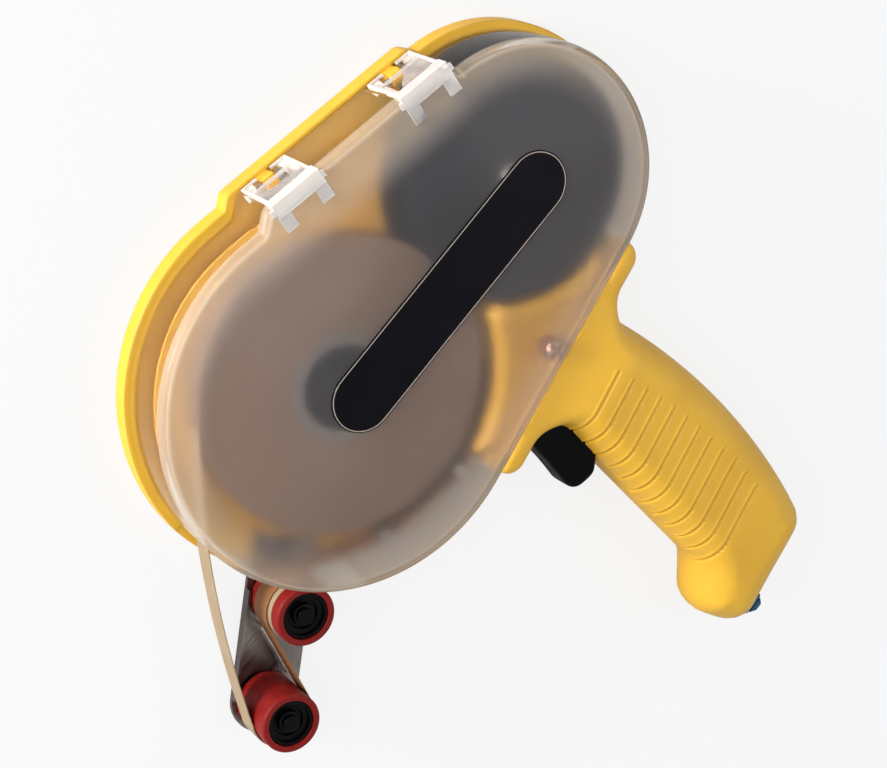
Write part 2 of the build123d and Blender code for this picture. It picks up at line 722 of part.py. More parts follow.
# Gear train and take-up side
save("idler_gear", gear(idler, idler_teeth, 180 / idler_teeth, idler_pin_r + run_gap))
save("takeup_gear", gear(takeup, takeup_teeth, 0, 7.0))
save("takeup_spool", takeup_spool())
save("takeup_flange", takeup_flange())
save("wound_liner", ring(takeup, wound_r, 15.0, tape_low + 0.2, tape_high - 0.2))
save("clutch_spring", coil(takeup, 4.6, 0.6, spool_top - 0.7, spool_top + 4.3, 4))
save("clutch_cap", ring(takeup, 6.0, spindle_r + run_gap, spool_top + 5.0, spool_top + 7.0))

# Rollers
save("lower_roller_sleeve", roller_sleeve(lower_roller, False))
save("lower_roller_hub", roller_hub(lower_roller))
save("upper_roller_sleeve", roller_sleeve(upper_roller, True))
save("upper_roller_hub", roller_hub(upper_roller))
middle_z = (roller_low + roller_high) / 2
save("upper_roller_band", ring(upper_roller, band_r, roller_r - 1, middle_z - band_w / 2, middle_z + band_w / 2))

# Trigger and brake
save("trigger", trigger())
save("trigger_spring", coil(trigger_pivot, 3.2, 0.5, 13.7, 18.3, 4))
save("brake_lever", brake_lever())
save("brake_pad", brake_pad())
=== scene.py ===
import bpy
import bmesh
import math
import numpy as np
from mathutils import Matrix, Vector
from mathutils.geometry import delaunay_2d_cdt


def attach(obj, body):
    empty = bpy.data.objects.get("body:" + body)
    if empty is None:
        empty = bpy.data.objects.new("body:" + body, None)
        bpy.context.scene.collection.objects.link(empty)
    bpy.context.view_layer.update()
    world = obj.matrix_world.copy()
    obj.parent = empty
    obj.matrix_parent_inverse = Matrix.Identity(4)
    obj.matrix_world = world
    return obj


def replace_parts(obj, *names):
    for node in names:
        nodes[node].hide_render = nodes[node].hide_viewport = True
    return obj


# Transfer tape dispenser: looks and detailed pieces around the solid parts.
# Shapes are worked out in millimetres and turned into metres when a mesh is made.
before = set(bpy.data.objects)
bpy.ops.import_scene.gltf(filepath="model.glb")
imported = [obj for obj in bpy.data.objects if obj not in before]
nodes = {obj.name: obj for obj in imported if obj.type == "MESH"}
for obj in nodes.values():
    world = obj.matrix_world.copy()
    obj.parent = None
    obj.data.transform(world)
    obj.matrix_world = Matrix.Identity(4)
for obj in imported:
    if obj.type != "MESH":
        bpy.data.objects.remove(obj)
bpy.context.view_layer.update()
mm = 0.001

# The housing's outline: round ends, straight sides, and the hinge block's corners and radii
housing = {"bigCentre": (-2.5, 2.0), "bigR": 58.8, "smallCentre": (79.5, 1.7), "smallR": 42.4,
           "block": (((6.6, 0), -2.0), ((11.5, 4.7), 4.0), ((75.5, 4.7), 4.0), ((80.4, 0), -2.0)),
           "sideLong": 82.0, "clipStarts": (13.5, 61.5), "clipWidth": 16.0, "spindleGap": 81.0}


def polar(centre, radius, degrees):
    a = math.radians(degrees)
    return Vector((centre[0] + radius * math.cos(a), centre[1] + radius * math.sin(a)))


def arc(centre, radius, start, turn, steps):
    return [polar(centre, radius, start + turn * k / steps) for k in range(steps + 1)]


def between(a, b, steps):
    return [a.lerp(b, k / steps) for k in range(1, steps)]


bigCentre, bigR = housing["bigCentre"], housing["bigR"]
smallCentre, smallR = housing["smallCentre"], housing["smallR"]
gapX = smallCentre[0] - bigCentre[0]
gapY = smallCentre[1] - bigCentre[1]
housingTurn = math.degrees(math.atan2(gapY, gapX))
housingLean = math.degrees(math.asin((bigR - smallR) / math.hypot(gapX, gapY)))
topNormal = 90 - housingLean + housingTurn
lowNormal = -90 + housingLean + housingTurn
topStart = polar(bigCentre, bigR, topNormal)
lowStart = polar(bigCentre, bigR, lowNormal)


# A point s along and n out from the hinge side or the handle side
def onTop(s, n):
    return polar(polar(topStart, s, topNormal - 90), n, topNormal)


def onLow(s, n):
    return polar(polar(lowStart, s, lowNormal + 90), n, lowNormal)


# How far along and how far out from a side a point lies
def lowPlace(p):
    d = Vector(p[:2]) - lowStart
    return d.dot(polar((0, 0), 1, lowNormal + 90)), d.dot(polar((0, 0), 1, lowNormal))


def topPlace(p):
    d = Vector(p[:2]) - topStart
    return d.dot(polar((0, 0), 1, topNormal - 90)), d.dot(polar((0, 0), 1, topNormal))


def within(x, span):
    return span[0] < x < span[1]


def smooth(x, low, high):
    t = np.clip((x - low) / (high - low), 0, 1)
    return t * t * (3 - 2 * t)


# Mesh helpers
def addObject(name, data):
    obj = bpy.data.objects.new(name, data)
    bpy.context.scene.collection.objects.link(obj)
    return obj


def meshObject(name, verts, faces, shade=True):
    mesh = bpy.data.meshes.new(name)
    mesh.from_pydata([Vector(v) * mm for v in verts], [], faces)
    mesh.update()
    if shade:
        mesh.shade_smooth()
    return addObject(name, mesh)


def reshape(obj, change):
    bm = bmesh.new()
    bm.from_mesh(obj.data)
    change(bm)
    bm.to_mesh(obj.data)
    bm.free()
    return obj


def sharpen(obj, degrees=35):
    def mark(bm):
        for e in bm.edges:
            e.smooth = not (len(e.link_faces) == 2 and e.calc_face_angle(0) > math.radians(degrees))
    return reshape(obj, mark)


def outward(obj):
    return reshape(obj, lambda bm: bmesh.ops.recalc_face_normals(bm, faces=bm.faces))


# Works the modifiers into a plain mesh
def settle(obj):
    graph = bpy.context.evaluated_depsgraph_get()
    mesh = bpy.data.meshes.new_from_object(obj.evaluated_get(graph))
    obj.modifiers.clear()
    obj.data = mesh
    mesh.validate()
    return obj


def thicken(obj, wall):
    skinned = obj.modifiers.new("wall", "SOLIDIFY")
    skinned.thickness, skinned.offset = wall * mm, -1
    return settle(obj)


def lathe(name, centre, profile, steps=96):
    verts = []
    for i in range(steps):
        for r, z in profile:
            p = polar(centre, r, 360 * i / steps)
            verts.append((p[0], p[1], z))
    faces = []
    count = len(profile)
    for i in range(steps):
        k = (i + 1) % steps
        for j in range(count):
            m = (j + 1) % count
            faces.append((i * count + j, k * count + j, k * count + m, i * count + m))

    def close(bm):
        bmesh.ops.remove_doubles(bm, verts=bm.verts, dist=1e-6)
        bmesh.ops.recalc_face_normals(bm, faces=bm.faces)
    return sharpen(reshape(meshObject(name, verts, faces), close))


# The arc that rounds a corner: its centre, start angle and turn
def cornerArc(before, corner, after, radius):
    u, v = (before - corner).normalized(), (after - corner).normalized()
    half = u.angle(v) / 2
    middle = corner + (u + v).normalized() * (radius / math.sin(half))
    a = corner + u * (radius / math.tan(half)) - middle
    b = corner + v * (radius / math.tan(half)) - middle
    start = math.atan2(a.y, a.x)
    turn = (math.atan2(b.y, b.x) - start + math.pi) % (2 * math.pi) - math.pi
    return middle, start, turn


# An open line through corners, each given with the radius that rounds it
def roundedPath(corners, step=1.0):
    points = []
    for i, (p, r) in enumerate(corners):
        p = Vector(p)
        if r == 0 or i in (0, len(corners) - 1):
            points.append(p)
            continue
        middle, start, turn = cornerArc(Vector(corners[i - 1][0]), p, Vector(corners[i + 1][0]), r)
        parts = max(4, int(abs(turn) * r / step) + 1)
        angles = [start + turn * k / parts for k in range(parts + 1)]
        points += [middle + Vector((r * math.cos(a), r * math.sin(a))) for a in angles]
    dense = []
    for a, b in zip(points, points[1:]):
        parts = max(1, round((b - a).length / (2 * step)))
        dense += [a.lerp(b, k / parts) for k in range(parts)]
    return dense + [points[-1]]


def distanceTo(points, line):
    a = np.array([p[:2] for p in line[:-1]])
    b = np.array([p[:2] for p in line[1:]])
    best = np.full(len(points), 1e9)
    for p, q in zip(a, b):
        d = q - p
        t = np.clip(((points - p) @ d) / max(d @ d, 1e-12), 0, 1)
        best = np.minimum(best, np.hypot(*(points - p - t[:, None] * d).T))
    return best


# Shader and geometry maths: operators on values add their nodes
class Val:
    def __init__(self, tree, socket):
        self.tree, self.socket = tree, socket

    def math(self, operation, *others):
        return self.tree.node("ShaderNodeMath", {"operation": operation}, dict(enumerate([self, *others])))

    def __add__(self, other):
        return self.math("ADD", other)

    def __sub__(self, other):
        return self.math("SUBTRACT", other)

    def __rsub__(self, other):
        return self.tree.node("ShaderNodeMath", {"operation": "SUBTRACT"}, {0: other, 1: self})

    def __mul__(self, other):
        return self.math("MULTIPLY", other)

    def __truediv__(self, other):
        return self.math("DIVIDE", other)

    __radd__ = __add__
    __rmul__ = __mul__

    def ramp(self, low, high, start=0.0, end=1.0):
        sockets = {"Value": self, "From Min": low, "From Max": high, "To Min": start, "To Max": end}
        return self.tree.node("ShaderNodeMapRange", {"interpolation_type": "SMOOTHSTEP"}, sockets)


class Tree:
    def __init__(self, tree):
        self.tree = tree

    def node(self, kind, settings=None, sockets=None, out=0):
        made = self.tree.nodes.new(kind)
        for key, value in (settings or {}).items():
            setattr(made, key, value)
        for key, value in (sockets or {}).items():
            target = made.inputs[key]
            if isinstance(value, Val):
                self.tree.links.new(value.socket, target)
            elif isinstance(value, tuple) and len(value) == 3 and target.type == "RGBA":
                target.default_value = (*value, 1)
            else:
                target.default_value = value
        return Val(self, made.outputs[out])

    def vector(self, sockets):
        return self.node("ShaderNodeCombineXYZ", None, sockets)

    def part(self, value, index):
        return self.node("ShaderNodeSeparateXYZ", None, {0: value}, index)

    def mix(self, factor, a, b):
        return self.node("ShaderNodeMix", {"data_type": "RGBA"}, {"Factor": factor, 6: a, 7: b}, 2)

    def blend(self, factor, a, b):
        return self.node("ShaderNodeMixShader", None, {0: factor, 1: a, 2: b})


class Finish(Tree):
    def __init__(self, name):
        self.material = bpy.data.materials.new(name)
        self.material.use_nodes = True
        super().__init__(self.material.node_tree)
        self.tree.nodes.clear()
        self.place = self.node("ShaderNodeTexCoord", None, None, "Object")

    def noise(self, scale, detail=2.0, stretch=(1, 1, 1), roughness=0.5, turn=0.0):
        spot = self.node("ShaderNodeMapping", None,
                         {"Vector": self.place, "Scale": stretch, "Rotation": (0, 0, math.radians(turn))})
        return self.node("ShaderNodeTexNoise", None,
                         {"Vector": spot, "Scale": scale, "Detail": detail, "Roughness": roughness}, "Fac")

    def awayFrom(self, point):
        ends = {0: self.place, 1: point}
        return self.node("ShaderNodeVectorMath", {"operation": "DISTANCE"}, ends, "Value")

    def bump(self, height, strength, distance, edge=0.0):
        sockets = {"Height": height, "Strength": strength, "Distance": distance}
        if edge:
            sockets["Normal"] = self.node("ShaderNodeBevel", {"samples": 4}, {"Radius": edge})
        return self.node("ShaderNodeBump", None, sockets)

    def surface(self, sockets):
        return self.node("ShaderNodeBsdfPrincipled", None, sockets)

    def end(self, shader):
        output = self.tree.nodes.new("ShaderNodeOutputMaterial")
        self.tree.links.new(shader.socket, output.inputs["Surface"])
        return self.material

    # A clear piece lets shadow rays through, so that what lies under it is lit
    def endClear(self, body, tint, share=1.0):
        clear = self.node("ShaderNodeBsdfTransparent", None, {"Color": tint})
        shadow = self.node("ShaderNodeLightPath", None, None, "Is Shadow Ray")
        return self.end(self.blend(shadow if share == 1.0 else shadow * share, body, clear))


def paint(target, material):
    mesh = nodes[target].data if isinstance(target, str) else target.data
    mesh.materials.clear()
    mesh.materials.append(material)


# Finishes
def mouldedPlastic(name, colour, deep, rough=0.42, grain=0.05, edge=0.0003, shine=0.5, mark=None, shadeDisc=None):
    f = Finish(name)
    cloud = f.noise(60, 3).ramp(0.35, 0.7)
    spark = f.noise(2600, 2)
    speck = f.noise(900, 3, roughness=0.7)
    base = f.mix(cloud * 0.5 + speck * 0.2, colour, deep)
    height = spark * 0.6 + speck * 0.4
    if mark:  # a small moulding mark, sunk into the surface
        spot = f.awayFrom(mark).ramp(0.0003, 0.0012, 1.0, 0.0)
        base = f.mix(spot * 0.6, base, deep)
        height = height - spot * 6.0
    # painted shade: a dark disc stands for the shade under the spool's flange
    if shadeDisc:  # everything within its radius takes its tone
        inPaintedShade = f.awayFrom(shadeDisc["at"]).ramp(shadeDisc["radius"], shadeDisc["radius"] + 0.0006, 1.0, 0.0)
        base = f.mix(inPaintedShade, base, shadeDisc["tone"])
    dull = f.noise(180, 4).ramp(0.3, 0.7, rough - 0.05, rough + 0.06)
    return f.end(f.surface({"Base Color": base, "Roughness": dull, "Specular IOR Level": shine,
                            "Normal": f.bump(height, grain, 0.0003, edge)}))


def brushedMetal(name, colour, rough=0.3, turn=0.0):
    f = Finish(name)
    streak = f.noise(300, 4, (0.06, 2.4, 1), 0.6, turn)
    cloud = f.noise(120, 2)
    base = f.mix(cloud.ramp(0.35, 0.7), colour, tuple(c * 0.72 for c in colour))
    return f.end(f.surface({"Base Color": base, "Metallic": 1.0,
                            "Roughness": streak.ramp(0.2, 0.8, rough - 0.06, rough + 0.12),
                            "Normal": f.bump(streak, 0.18, 0.0002, 0.0002)}))


# The cover's looks by place, in metres: from and to where each effect grows or fades; among them are a
# painted highlight on the hinge side and a painted shade on the handle side
coverLook = {"face": (0.0303, 0.0309), "rimStart": (0.0268, 0.0284), "rimEnd": (0.0306, 0.03098),
             "shoulder": (-0.016, -0.002), "paintedHingeHighlight": (0.0, 0.04), "paintedShadeSpan": (-0.03, 0.01), "ior": 1.2,
             "faceTint": (0.66, 0.60, 0.57), "wallTint": (0.95, 0.92, 0.90), "paintedShadeTint": (0.70, 0.65, 0.61),
             "veil": (0.56, 0.53, 0.52), "shoulderVeil": (0.62, 0.50, 0.38),
             "insideTint": (0.97, 0.95, 0.93), "insidePaintedShade": (0.80, 0.75, 0.71)}


# How far a point lies outside the housing's outline, in metres; inside it is negative
def beyondOutline(f):
    bigX, bigY = [c * mm for c in bigCentre]
    x, y = f.part(f.place, 0) - bigX, f.part(f.place, 1) - bigY
    along = (x / (gapX * mm)).math("MINIMUM", 1.0).math("MAXIMUM", 0.0)
    dx, dy = x - along * (gapX * mm), y - along * (gapY * mm)
    away = (dx * dx + dy * dy).math("SQRT")
    return away - along * ((smallR - bigR) * mm) - bigR * mm


# Painted shade: the cover's walls and inner face turn darker towards the handle side, low in y
def paintedShadeSide(f):
    return f.part(f.place, 1).ramp(*coverLook["paintedShadeSpan"], 1.0, 0.0)


def frostedCover():
    f = Finish("frostedClear")
    look = coverLook
    z = f.part(f.place, 2)
    shoulder = beyondOutline(f).ramp(*look["shoulder"])
    # painted highlight: more cream veil on the shoulder towards the hinge side
    paintedHingeHighlight = f.part(f.place, 1).ramp(*look["paintedHingeHighlight"])
    face = z.ramp(*look["face"])
    rim = z.ramp(*look["rimStart"]) * z.ramp(*look["rimEnd"], 1.0, 0.0)
    haze = f.noise(22, 2).ramp(0.3, 0.7)
    wallTone = f.mix(paintedShadeSide(f), look["wallTint"], look["paintedShadeTint"])
    glass = f.surface({"Base Color": f.mix(face, wallTone, look["faceTint"]),
                       "Roughness": face * (haze * 0.05 + 0.48) + 0.05, "Transmission Weight": 1.0,
                       "IOR": look["ior"], "Normal": f.bump(f.noise(1500, 3), 0.06, 0.0002)})
    veil = f.surface({"Base Color": f.mix(shoulder, look["veil"], look["shoulderVeil"]), "Roughness": 0.45})
    cloudy = face * (haze * 0.04 + 0.06 + shoulder * (paintedHingeHighlight * 0.16 + 0.30)) + rim * 0.44 + 0.015
    return f.endClear(f.blend(cloudy, glass, veil), (0.80, 0.78, 0.76))


def innerClear():
    f = Finish("innerClear")
    ripple = f.noise(90, 2)
    # painted shade towards the handle side here too
    tone = f.mix(paintedShadeSide(f), coverLook["insideTint"], coverLook["insidePaintedShade"])
    glass = f.surface({"Base Color": tone, "Roughness": ripple.ramp(0.3, 0.7, 0.03, 0.06),
                       "Transmission Weight": 1.0, "IOR": coverLook["ior"],
                       "Normal": f.bump(ripple, 0.05, 0.0002)})
    return f.endClear(glass, (0.92, 0.91, 0.90))


def milkyClear():
    f = Finish("milkyClear")
    cloud = f.noise(220, 3)
    body = f.surface({"Base Color": f.mix(cloud.ramp(0.3, 0.7), (0.99, 0.97, 0.96), (0.92, 0.90, 0.88)),
                      "Roughness": 0.26, "Transmission Weight": 0.5, "IOR": 1.45,
                      "Normal": f.bump(f.noise(700, 3), 0.15, 0.0003, 0.0003)})
    return f.endClear(body, (0.82, 0.80, 0.78), 0.6)


def clearPane():
    f = Finish("clearPane")
    film = f.noise(300, 2)
    body = f.surface({"Base Color": (0.98, 0.93, 0.88), "Roughness": film.ramp(0.3, 0.7, 0.05, 0.12),
                      "Transmission Weight": 1.0, "IOR": 1.15})
    return f.endClear(body, (0.90, 0.86, 0.84))


# Tape wound round the origin: thin layers across and wider bands
def woundTape(name, light, dark):
    f = Finish(name)
    x, y = f.part(f.place, 0), f.part(f.place, 1)
    radius = (x * x + y * y).math("SQRT")
    around = y.math("ARCTAN2", x)
    z = f.part(f.place, 2)
    spot = f.vector({0: radius * 5200, 1: around * 0.6, 2: z * 40})
    layers = f.node("ShaderNodeTexNoise", None, {"Vector": spot, "Scale": 1.0, "Detail": 2.0}, "Fac")
    ring = f.vector({0: radius * 700})
    bands = f.node("ShaderNodeTexNoise", None, {"Vector": ring, "Scale": 1.0, "Detail": 1.0}, "Fac")
    tone = (layers * 0.6 + bands * 0.4).ramp(0.3, 0.7)
    return f.end(f.surface({"Base Color": f.mix(tone, dark, light),
                            "Roughness": layers.ramp(0.3, 0.7, 0.5, 0.7),
                            "Normal": f.bump(layers, 0.3, 0.0002)}))


def paperTape(name, light, dark):
    f = Finish(name)
    fibre = f.noise(900, 5, (1, 1, 0.35), 0.65)
    cloud = f.noise(90, 2).ramp(0.3, 0.7)
    return f.end(f.surface({"Base Color": f.mix(fibre * 0.6 + cloud * 0.4, light, dark), "Roughness": 0.62,
                            "Normal": f.bump(fibre, 0.18, 0.0001)}))


def rubber(name, colour, deep):
    f = Finish(name)
    grain = f.noise(1400, 4, roughness=0.6)
    wear = f.noise(140, 4).ramp(0.45, 0.75)
    return f.end(f.surface({"Base Color": f.mix(wear * 0.6, colour, deep),
                            "Roughness": grain.ramp(0.3, 0.7, 0.42, 0.58), "Specular IOR Level": 0.22,
                            "Normal": f.bump(grain, 0.12, 0.0003, 0.0004)}))


def felt():
    f = Finish("greyFelt")
    fluff = f.noise(2200, 6, roughness=0.7)
    return f.end(f.surface({"Base Color": f.mix(fluff, (0.16, 0.14, 0.13), (0.34, 0.31, 0.28)),
                            "Roughness": 0.95, "Normal": f.bump(fluff, 0.8, 0.0005)}))


# Each plastic's main colour and the deeper one that clouds it
caseColours = (0.83, 0.47, 0.030), (0.72, 0.39, 0.022)
deckColours = (0.80, 0.43, 0.045), (0.68, 0.35, 0.035)
# Painted shade on the deck: dark navy within the take-up spool's reach, where its flange shades it
spoolShadeDisc = {"at": (0.081, 0.0, 0.0076), "radius": 0.0405, "tone": (0.010, 0.012, 0.026)}
gripMark = (0.0604, -0.1436, 0.0286)
metalGrain = 35.6  # degrees, along the roller bracket

yellow = mouldedPlastic("yellowPlastic", *caseColours, grain=0.10)
gripYellow = mouldedPlastic("yellowGrip", *caseColours, grain=0.10, mark=gripMark)
trayYellow = mouldedPlastic("yellowTray", *caseColours, grain=0.10, edge=0.0012)
deckOrange = mouldedPlastic("deckOrange", *deckColours, rough=0.45, shadeDisc=spoolShadeDisc)
navy = mouldedPlastic("navyPlastic", (0.009, 0.012, 0.026), (0.006, 0.008, 0.017), rough=0.40, shine=0.10)
black = mouldedPlastic("blackPlastic", (0.0016, 0.0016, 0.0024), (0.0030, 0.0030, 0.004), grain=0.12,
                       edge=0.0012, shine=0.04)
hubBlack = mouldedPlastic("hubPlastic", (0.0012, 0.0012, 0.002), (0.0025, 0.0025, 0.003), rough=0.22,
                          grain=0.08, shine=0.07)
plateBlack = mouldedPlastic("blackPlate", (0.0022, 0.0022, 0.0045), (0.0038, 0.0038, 0.007), rough=0.24,
                            grain=0.02, edge=0.0002, shine=0.06)
pale = mouldedPlastic("paleCore", (0.20, 0.19, 0.18), (0.15, 0.14, 0.135), rough=0.5)
natural = mouldedPlastic("naturalPlastic", (0.74, 0.72, 0.66), (0.66, 0.63, 0.56), rough=0.36)
blue = mouldedPlastic("bluePlastic", (0.012, 0.10, 0.20), (0.007, 0.065, 0.14), rough=0.36, shine=0.3)
paleLine = mouldedPlastic("paleLine", (0.52, 0.42, 0.36), (0.44, 0.36, 0.30), rough=0.35)
# Painted reflection: the bracket's steel is made very dark to stand for the dark surroundings it reflects
darkReflectionSteel = brushedMetal("brushedSteel", (0.19, 0.165, 0.155), 0.26, metalGrain)
brightSteel = brushedMetal("brightSteel", (0.78, 0.74, 0.70), 0.34, metalGrain)
turnedSteel = brushedMetal("turnedSteel", (0.50, 0.48, 0.46), 0.26)
platedScrew = brushedMetal("platedScrew", (0.62, 0.36, 0.26), 0.42)
red = rubber("redRubber", (0.21, 0.006, 0.004), (0.12, 0.003, 0.003))
tan = paperTape("tanPaper", (0.37, 0.27, 0.17), (0.29, 0.205, 0.12))
brown = paperTape("brownLiner", (0.30, 0.125, 0.04), (0.21, 0.080, 0.026))
woundRoll = woundTape("woundRoll", (0.25, 0.168, 0.122), (0.155, 0.100, 0.072))
woundLiner = woundTape("woundLiner", (0.56, 0.42, 0.28), (0.38, 0.27, 0.17))
frosted = frostedCover()
inside = innerClear()
milky = milkyClear()
paneClear = clearPane()
greyFelt = felt()

finishes = {
    trayYellow: ["rear_housing"], yellow: ["front_handle_shell"], deckOrange: ["gear_deck"],
    turnedSteel: ["supply_spindle", "takeup_spindle", "idler_pin", "bracket_rivets", "brake_pin",
                  "trigger_pin", "guide_posts", "hinge_pins", "clutch_spring", "trigger_spring"],
    darkReflectionSteel: ["roller_bracket"], brightSteel: ["bracket_strip"], platedScrew: ["housing_screws"],
    hubBlack: ["lower_roller_axle", "upper_roller_axle", "lower_roller_hub", "upper_roller_hub"],
    blue: ["heel_plug"], tan: ["tape_feed_strip", "upper_roller_band"], brown: ["liner_return_strip"],
    frosted: ["cover"], milky: ["hinge_clip_nose", "hinge_clip_tail"], plateBlack: ["label_plate"],
    navy: ["supply_hub", "takeup_spool", "takeup_flange"],
    natural: ["supply_gear", "idler_gear", "takeup_gear"], pale: ["roll_core"],
    woundRoll: ["tape_roll"], woundLiner: ["wound_liner"],
    black: ["clutch_cap", "trigger", "brake_lever"], red: ["lower_roller_sleeve", "upper_roller_sleeve"],
    greyFelt: ["brake_pad"]}
for material, names in finishes.items():
    for name in names:
        paint(name, material)
print("finishes made")


# Cover: one smooth shell lofted round the outline; its wall ends at several heights
cover = {"top": 31.0, "wall": 2.0, "edge": 3.2, "edgeSteps": 8, "insideEdge": 1.2, "insideStep": 0.4,
         "wallRows": (0, 0.35, 0.7, 1.0), "foot": 7.8, "overHandle": 24.4, "underClips": 26.5,
         "atHinge": 9.0, "overTape": 26.0, "handleSpan": (0, 84), "hingeSpan": (5, 81), "clipSpare": 0.1,
         "nearHandle": -9, "nearHinge": -3, "tapeAngles": (175, 231)}
loopSteps = {"smallEnd": 120, "bigEnd": 160, "handleSide": 48, "corner": 8, "toBigEnd": 4,
             "toCorner": {4: 4, 3: 4, 2: 40, 1: 4}}


# The outline grown outwards; its points match at every distance
def caseLoop(grow):
    block = housing["block"]
    places = [onTop(*p) for p in [(0, 0), *[spot for spot, radius in block], (housing["sideLong"], 0)]]
    points = arc(smallCentre, smallR + grow, lowNormal, topNormal - lowNormal, loopSteps["smallEnd"])
    for i, parts in loopSteps["toCorner"].items():
        radius = block[i - 1][1]
        size = abs(radius)
        middle, start, turn = cornerArc(places[i + 1], places[i], places[i - 1], size)
        reach = size + grow if radius > 0 else size - grow
        angles = [start + turn * k / loopSteps["corner"] for k in range(loopSteps["corner"] + 1)]
        corner = [middle + reach * Vector((math.cos(a), math.sin(a))) for a in angles]
        points += between(points[-1], corner[0], parts) + corner
    bigEnd = arc(bigCentre, bigR + grow, topNormal, 360 + lowNormal - topNormal, loopSteps["bigEnd"])
    points += between(points[-1], bigEnd[0], loopSteps["toBigEnd"]) + bigEnd
    return points + between(points[-1], points[0], loopSteps["handleSide"])


# Where the wall ends above a point of the outline
def coverFoot(p):
    s, n = lowPlace(p)
    if within(s, cover["handleSpan"]) and n > cover["nearHandle"] and p[1] < 0:
        return cover["overHandle"]
    s, n = topPlace(p)
    if n > cover["nearHinge"] and p[1] > 0:
        spare = cover["clipSpare"]
        spans = [(start - spare, start + housing["clipWidth"] + spare) for start in housing["clipStarts"]]
        if any(within(s, span) for span in spans):
            return cover["underClips"]
        if within(s, cover["hingeSpan"]):
            return cover["atHinge"]
    away = Vector(p[:2]) - Vector(bigCentre)
    angle = math.degrees(math.atan2(away.y, away.x)) % 360
    return cover["overTape"] if within(angle, cover["tapeAngles"]) else cover["foot"]


def coverShell():
    feet = [coverFoot(p) for p in caseLoop(0)]
    edge, wall, top = cover["edge"], cover["wall"], cover["top"]
    soft, step = cover["insideEdge"], cover["insideStep"]
    outer = [(0, lambda f, share=share: f + (top - edge - f) * share) for share in cover["wallRows"]]
    for k in range(1, cover["edgeSteps"] + 1):
        a = math.radians(90 * k / cover["edgeSteps"])
        outer.append((edge * (math.cos(a) - 1), lambda f, a=a: top - edge + edge * math.sin(a)))
    inner = [(-wall, lambda f: f), (-wall, lambda f: top - wall - soft),
             (-wall - step, lambda f: top - wall - step), (-wall - soft, lambda f: top - wall)]
    verts, faces = [], []
    for grow, height in outer + inner:
        verts += [(p[0], p[1], height(f)) for p, f in zip(caseLoop(grow), feet)]
    count, outerCount, allCount = len(feet), len(outer), len(outer) + len(inner)
    bands = [(i, i + 1) for i in range(allCount - 1) if i != outerCount - 1]
    for low, high in bands:
        for i in range(count):
            k = (i + 1) % count
            quad = (low * count + i, low * count + k, high * count + k, high * count + i)
            faces.append(quad if high < outerCount else quad[::-1])
    for i in range(count):
        k = (i + 1) % count
        faces.append((outerCount * count + i, outerCount * count + k, k, i))
    faces.append(tuple((outerCount - 1) * count + i for i in range(count)))
    faces.append(tuple((allCount - 1) * count + i for i in range(count))[::-1])
    made = meshObject("coverShell", verts, faces)
    paint(made, frosted)
    made.data.materials.append(inside)
    outerFaces, topFace = (outerCount - 1) * count, len(faces) - 2
    for i in range(outerFaces, len(faces)):
        made.data.polygons[i].material_index = 0 if i == topFace else 1
    return sharpen(made, 50)


shell = coverShell()
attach(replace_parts(shell, "cover"), "cover")
print("cover made")

# Handle: a rounded skin over the outline, with the ribs pressed in by a node tree.
# A span is from and to where a height or an edge grows, out from the housing or in x.
grip = {"split": 16.0, "seam": 7.6, "top": 30.0, "baseTop": 27.5, "wall": 2.2,
        "fingerEdge": 10.2, "palmEdge": 9.6, "baseEdge": 3.6,
        "topSpan": (5, 24), "edgeSpan": (8, 22), "sideSpan": (9, 22), "fingerSpan": (-56, -46),
        "slotX": (30.4, 37.5), "slotY": (-93, -58.6), "slotOut": 9, "slotTop": 22.3, "seamOut": 8.2,
        "spacing": 1.1}
rib = {"count": 12, "pitch": 6.4, "first": -64.5, "depth": 0.6, "width": 0.7, "lean": 0.23, "palmEnd": 64.0,
       "below": 6, "above": 1, "fineRow": 0.24, "row": 1.3, "rows": (-176.0, -40),
       "fineSteps": (0.12, 0.4, 0.8, 1.35, 2.1, 3.0, 4.1, 5.4, 6.9, 8.6, 10.4, 12.2)}
gripOutline = {"palm": ((68.8, -50.0), (76.3, -110.0), (68.6, -161.5)), "palmSteps": 24, "palmFrom": 15,
               "finger": ((36.0, -50.0), (33.0, -142.0)), "rootSide": (0, 80), "rootR": 9.0,
               "heel": (((33.0, -142.0), 9.0), ((20.6, -154.5), 8.0), ((26.6, -172.4), 9.5),
                        ((69.4, -163.4), 10.5)),
               "base": (2, 82), "baseIn": 0.6, "baseOut": 8, "baseR": 5.5}


def crossing(a, b, c, d):
    e, f = b - a, d - c
    t = ((c - a).x * f.y - (c - a).y * f.x) / (e.x * f.y - e.y * f.x)
    return a + e * t


